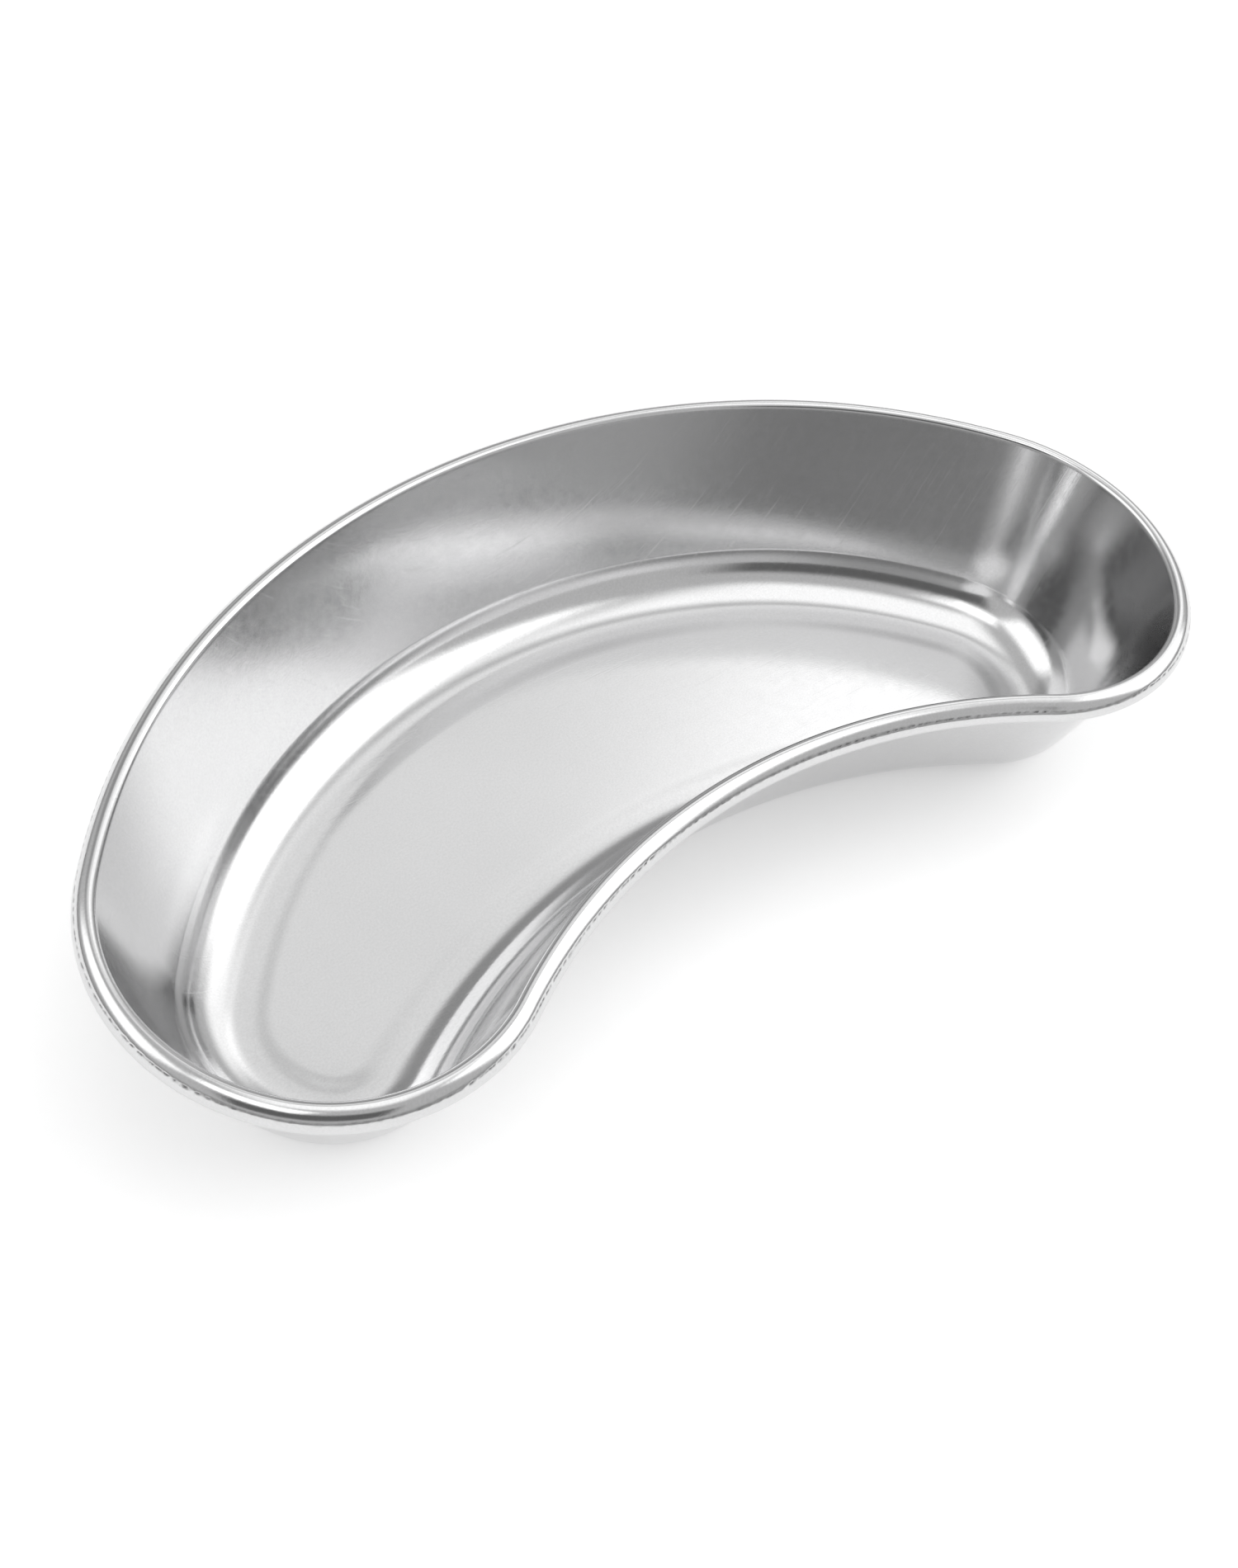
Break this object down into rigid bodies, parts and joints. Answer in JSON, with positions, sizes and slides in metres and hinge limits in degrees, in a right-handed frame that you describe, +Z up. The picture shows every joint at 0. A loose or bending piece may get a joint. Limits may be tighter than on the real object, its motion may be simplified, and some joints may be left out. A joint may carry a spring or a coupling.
{
  "type": "kidney dish",
  "caption": "Kidney-shaped stainless steel dish with a flat floor, sloping walls and a curled wired rim, for dressings, instruments and fluids.",
  "frame": {"origin": "middle of the overall length and width, on the plane the dish rests on", "axes": "+X along the length, +Y towards the convex side, +Z up out of the dish"},
  "size_m": [0.25, 0.129, 0.0435],
  "materials": {
    "satin_stainless_steel": "satin",
    "steel_wire": "drawn wire"
  },
  "bodies": {
    "root": {"pressed_bowl": "satin_stainless_steel", "rim_wire": "steel_wire"}
  },
  "joints": []
}
